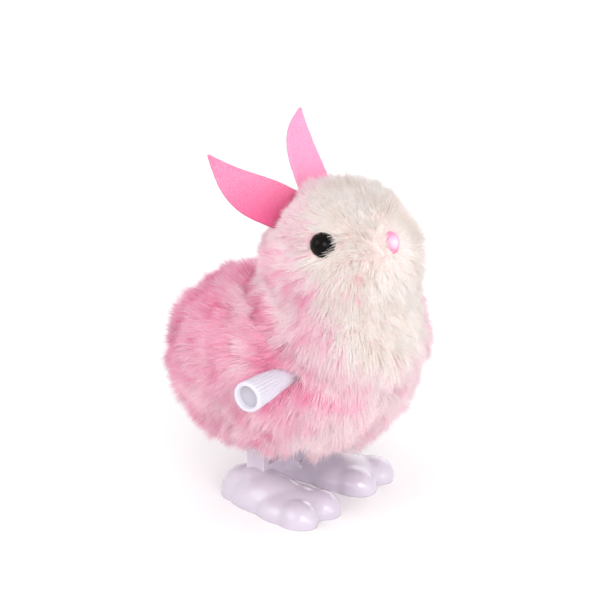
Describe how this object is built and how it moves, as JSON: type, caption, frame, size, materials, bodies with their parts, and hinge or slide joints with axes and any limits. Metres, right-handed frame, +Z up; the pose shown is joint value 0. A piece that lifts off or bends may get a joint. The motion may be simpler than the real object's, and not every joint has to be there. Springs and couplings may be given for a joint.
{
  "type": "wind-up hopping plush rabbit",
  "caption": "Small plush rabbit with felt ears and a clockwork motor in its body: a side knob winds it, and cams kick its flat plastic feet so that it hops.",
  "frame": {"origin": "on the ground, at the middle of the overall box; the rabbit's own middle plane is at X = +3.25 mm, because the knob sticks out on its right", "axes": "+Z up, the rabbit faces -Y, its right side with the winding knob is towards -X"},
  "size_m": [0.0595, 0.0608, 0.0804],
  "materials": {
    "fur_pink": "long-pile plush, about 7 mm, pink with paler tips",
    "fur_cream": "shorter plush, cream white",
    "wadding": "polyester wadding",
    "felt_pink": "needle felt, 1 mm",
    "bead_black": "polished bead",
    "bead_pink": "satin bead",
    "case_plastic": "moulded",
    "steel": "drawn wire",
    "spring_steel": "blued strip",
    "knob_white": "moulded, satin",
    "gear_white": "moulded acetal",
    "leg_white": "moulded, slightly translucent",
    "foot_white": "moulded, glossy, faintly lilac"
  },
  "bodies": {
    "legs": {"right_leg": "leg_white", "left_leg": "leg_white", "right_foot": "foot_white", "left_foot": "foot_white", "leg_crossbar": "leg_white", "leg_pivot_pin": "steel"},
    "motor": {"motor_case_right": "case_plastic", "motor_case_left": "case_plastic", "divider_plate": "case_plastic", "case_screws": "steel", "mainspring": "spring_steel", "leg_return_spring": "spring_steel", "body_pelt": "fur_pink", "body_stuffing": "wadding", "head_pelt": "fur_cream", "head_stuffing": "wadding", "right_ear_felt": "felt_pink", "left_ear_felt": "felt_pink", "right_eye": "bead_black", "left_eye": "bead_black", "nose_bead": "bead_pink"},
    "winder": {"winding_knob": "knob_white", "winding_arbor": "steel", "great_wheel": "gear_white"},
    "clutch": {"clutch_axle": "steel"},
    "clutch_gear": {"clutch_gear": "gear_white"},
    "cam_shaft": {"cam_shaft": "steel", "cam_pinion": "gear_white", "right_kick_cam": "gear_white", "left_kick_cam": "gear_white"}
  },
  "joints": [
    {"name": "hop", "type": "hinge", "parent": "legs", "child": "motor", "pos_m": [0.00325, 0.0137, 0.022], "axis": [-1, 0, 0], "range_deg": [0, 9], "deforming": ["leg_return_spring"]},
    {"name": "winder_turn", "type": "hinge", "parent": "motor", "child": "winder", "pos_m": [0.00325, -0.01, 0.0358], "axis": [1, 0, 0], "continuous": true, "deforming": ["mainspring"]},
    {"name": "clutch_release", "type": "hinge", "parent": "motor", "child": "clutch", "pos_m": [0.00325, 0, 0.0278], "axis": [-1, 0, 0], "range_deg": [0, 6.1]},
    {"name": "clutch_gear_turn", "type": "hinge", "parent": "clutch", "child": "clutch_gear", "pos_m": [0.00325, 0, 0.0358], "axis": [1, 0, 0], "continuous": true},
    {"name": "cam_turn", "type": "hinge", "parent": "motor", "child": "cam_shaft", "pos_m": [0.00325, 0, 0.0278], "axis": [1, 0, 0], "continuous": true}
  ],
  "couplings": [
    {"joint": "clutch_gear_turn", "follows": "winder_turn", "ratio": -4},
    {"joint": "cam_turn", "follows": "winder_turn", "ratio": 12}
  ]
}
